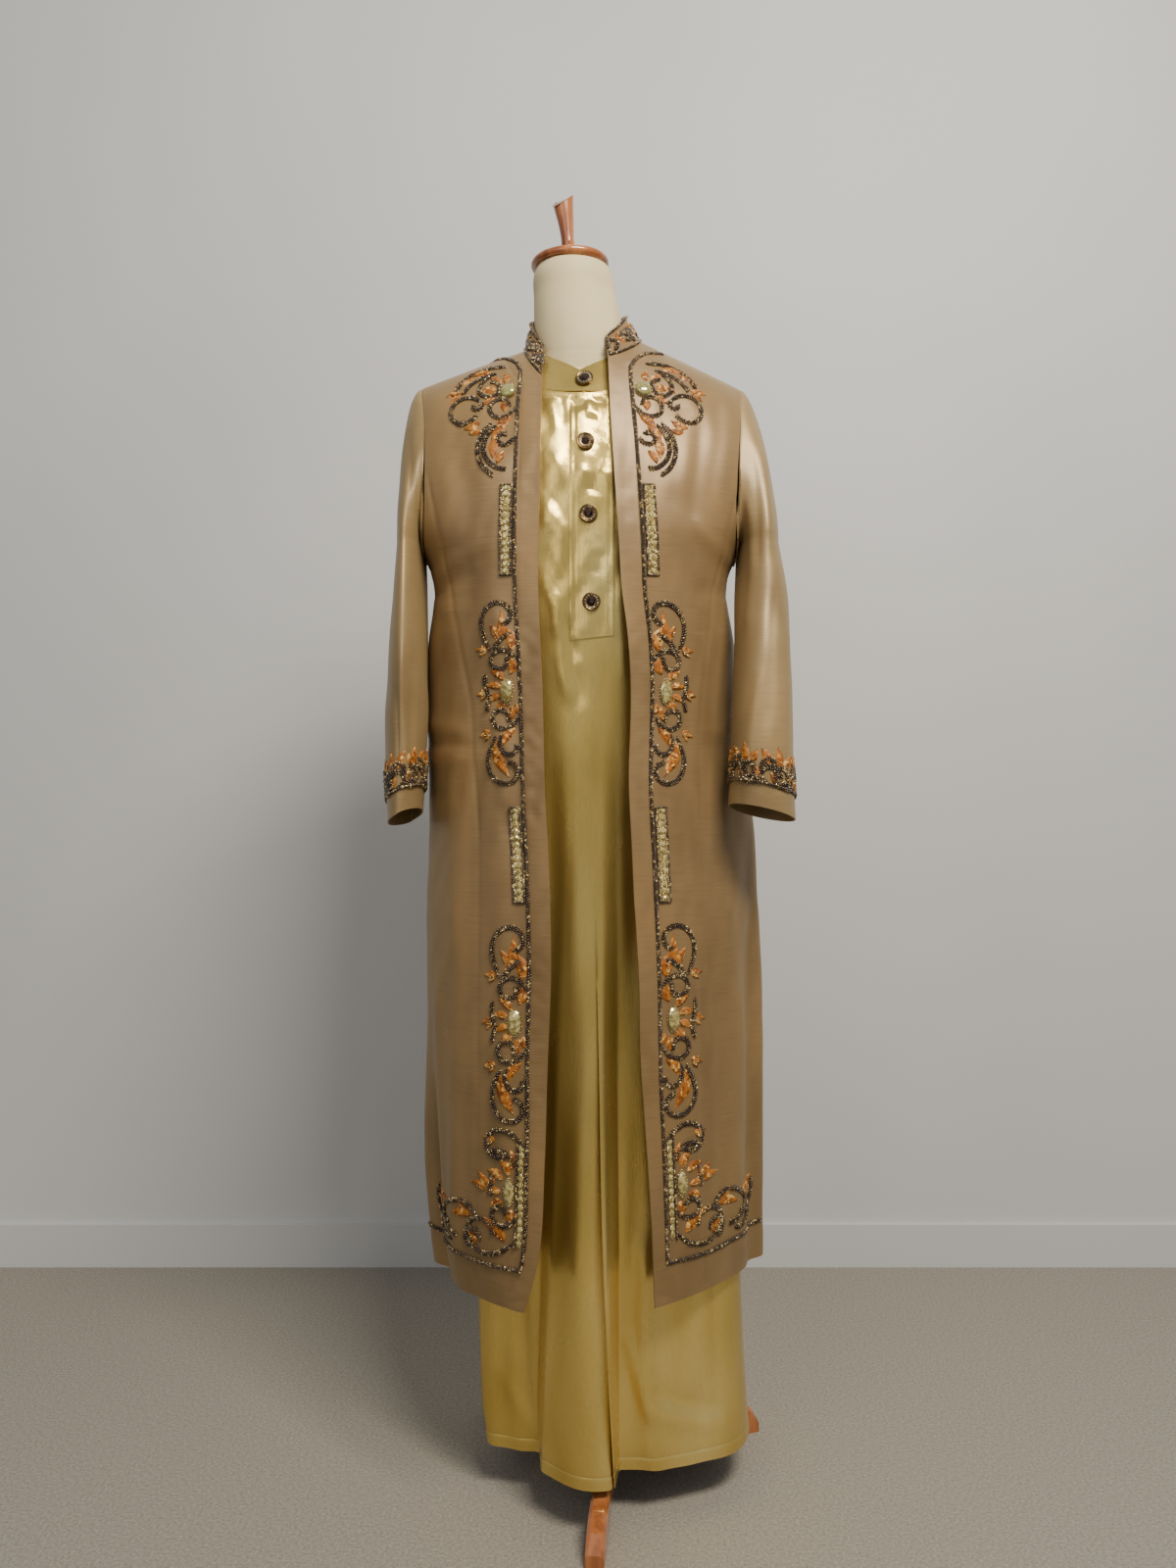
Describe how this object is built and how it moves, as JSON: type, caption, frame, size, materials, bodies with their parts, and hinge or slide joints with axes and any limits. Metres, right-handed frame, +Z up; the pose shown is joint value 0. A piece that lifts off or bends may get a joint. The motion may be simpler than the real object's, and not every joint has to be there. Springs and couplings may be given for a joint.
{
  "type": "thobe robe set on a dress form",
  "caption": "Long satin thobe under an open embroidered taffeta robe coat, worn by a limbless dress form on a wooden tripod.",
  "frame": {"origin": "centre of the whole object's bounding box in plan, at the level of the feet", "axes": "+Z up, the front of the garments faces -Y, +X to the right in a front view"},
  "size_m": [0.509, 0.3644, 1.6501],
  "materials": {
    "taffeta": "slubbed, soft sheen",
    "satin": "satin",
    "cord_beads": "beaded cord",
    "gold_beads": "glossy",
    "crystal": "faceted",
    "jersey": "matt",
    "wood": "varnished"
  },
  "bodies": {
    "root": {"coat_front_left": "taffeta", "coat_front_right": "taffeta", "coat_back": "taffeta", "sleeve_left": "taffeta", "sleeve_right": "taffeta", "thobe_front": "satin", "thobe_back": "satin", "thobe_collar": "satin", "thobe_placket": "satin", "coat_collar": "cord_beads", "cuff_trim_left": "cord_beads", "cuff_trim_right": "cord_beads", "front_cord_left": "cord_beads", "front_cord_right": "cord_beads", "motif_yoke_left": "cord_beads", "motif_yoke_right": "cord_beads", "motif_middle_left": "cord_beads", "motif_middle_right": "cord_beads", "motif_lower_left": "cord_beads", "motif_lower_right": "cord_beads", "motif_corner_left": "cord_beads", "motif_corner_right": "cord_beads", "ladder_upper_left": "gold_beads", "ladder_upper_right": "gold_beads", "ladder_middle_left": "gold_beads", "ladder_middle_right": "gold_beads", "ladder_lower_left": "gold_beads", "ladder_lower_right": "gold_beads", "gem_yoke_left": "crystal", "gem_yoke_right": "crystal", "gem_middle_left": "crystal", "gem_middle_right": "crystal", "gem_lower_left": "crystal", "gem_lower_right": "crystal", "gem_corner_left": "crystal", "gem_corner_right": "crystal", "button_1": "crystal", "button_2": "crystal", "button_3": "crystal", "button_4": "crystal", "form_torso": "jersey", "neck_cap": "wood", "neck_cap_handle": "wood", "stand_pole": "wood", "stand_hub": "wood", "stand_leg_1": "wood", "stand_leg_2": "wood", "stand_leg_3": "wood"}
  },
  "joints": []
}
